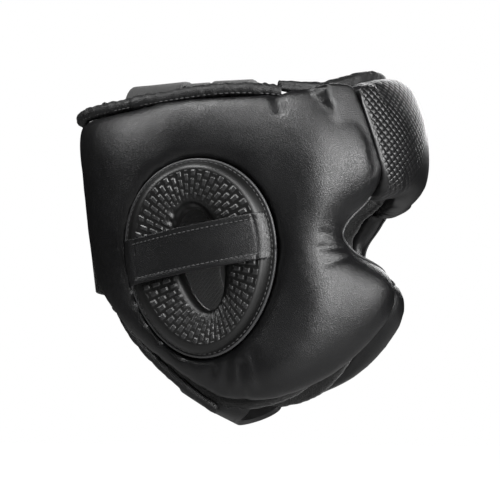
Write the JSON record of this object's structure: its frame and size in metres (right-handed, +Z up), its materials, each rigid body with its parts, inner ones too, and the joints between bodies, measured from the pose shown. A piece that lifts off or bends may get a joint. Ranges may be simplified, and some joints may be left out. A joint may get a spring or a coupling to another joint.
{
  "type": "boxing headgear",
  "caption": "Padded boxing headgear with full cheek pads, embossed brow pad and ear rings, straps over the ears and crown, rolled bindings and a soft chin strap.",
  "frame": {"origin": "the crown of the wearer's head on the mirror plane, at the underside of the front crown strap", "axes": "+X the way the wearer looks, +Y to the wearer's left, +Z up"},
  "size_m": [0.2646, 0.217, 0.2575],
  "materials": {
    "leather": "semi-gloss fine grain",
    "carbon_leather": "embossed, semi-gloss",
    "binding": "wrinkled, satin",
    "lining": "soft, matt",
    "webbing": "woven, matt"
  },
  "bodies": {
    "root": {"nape_lining": "lining", "brow_lining": "lining", "side_lining_right": "lining", "side_lining_left": "lining", "brow_pad": "carbon_leather", "nape_pad": "leather", "side_pad_right": "leather", "side_pad_left": "leather", "ear_ring_right": "carbon_leather", "ear_ring_left": "carbon_leather", "ear_strap_right": "leather", "ear_strap_left": "leather", "rear_top_binding": "binding", "front_top_binding": "binding", "low_binding": "binding", "nape_strap": "webbing", "nape_loop": "binding", "crown_strap_rear": "webbing", "crown_strap_middle": "webbing", "crown_strap_front": "webbing", "chin_strap": "binding"}
  },
  "joints": []
}
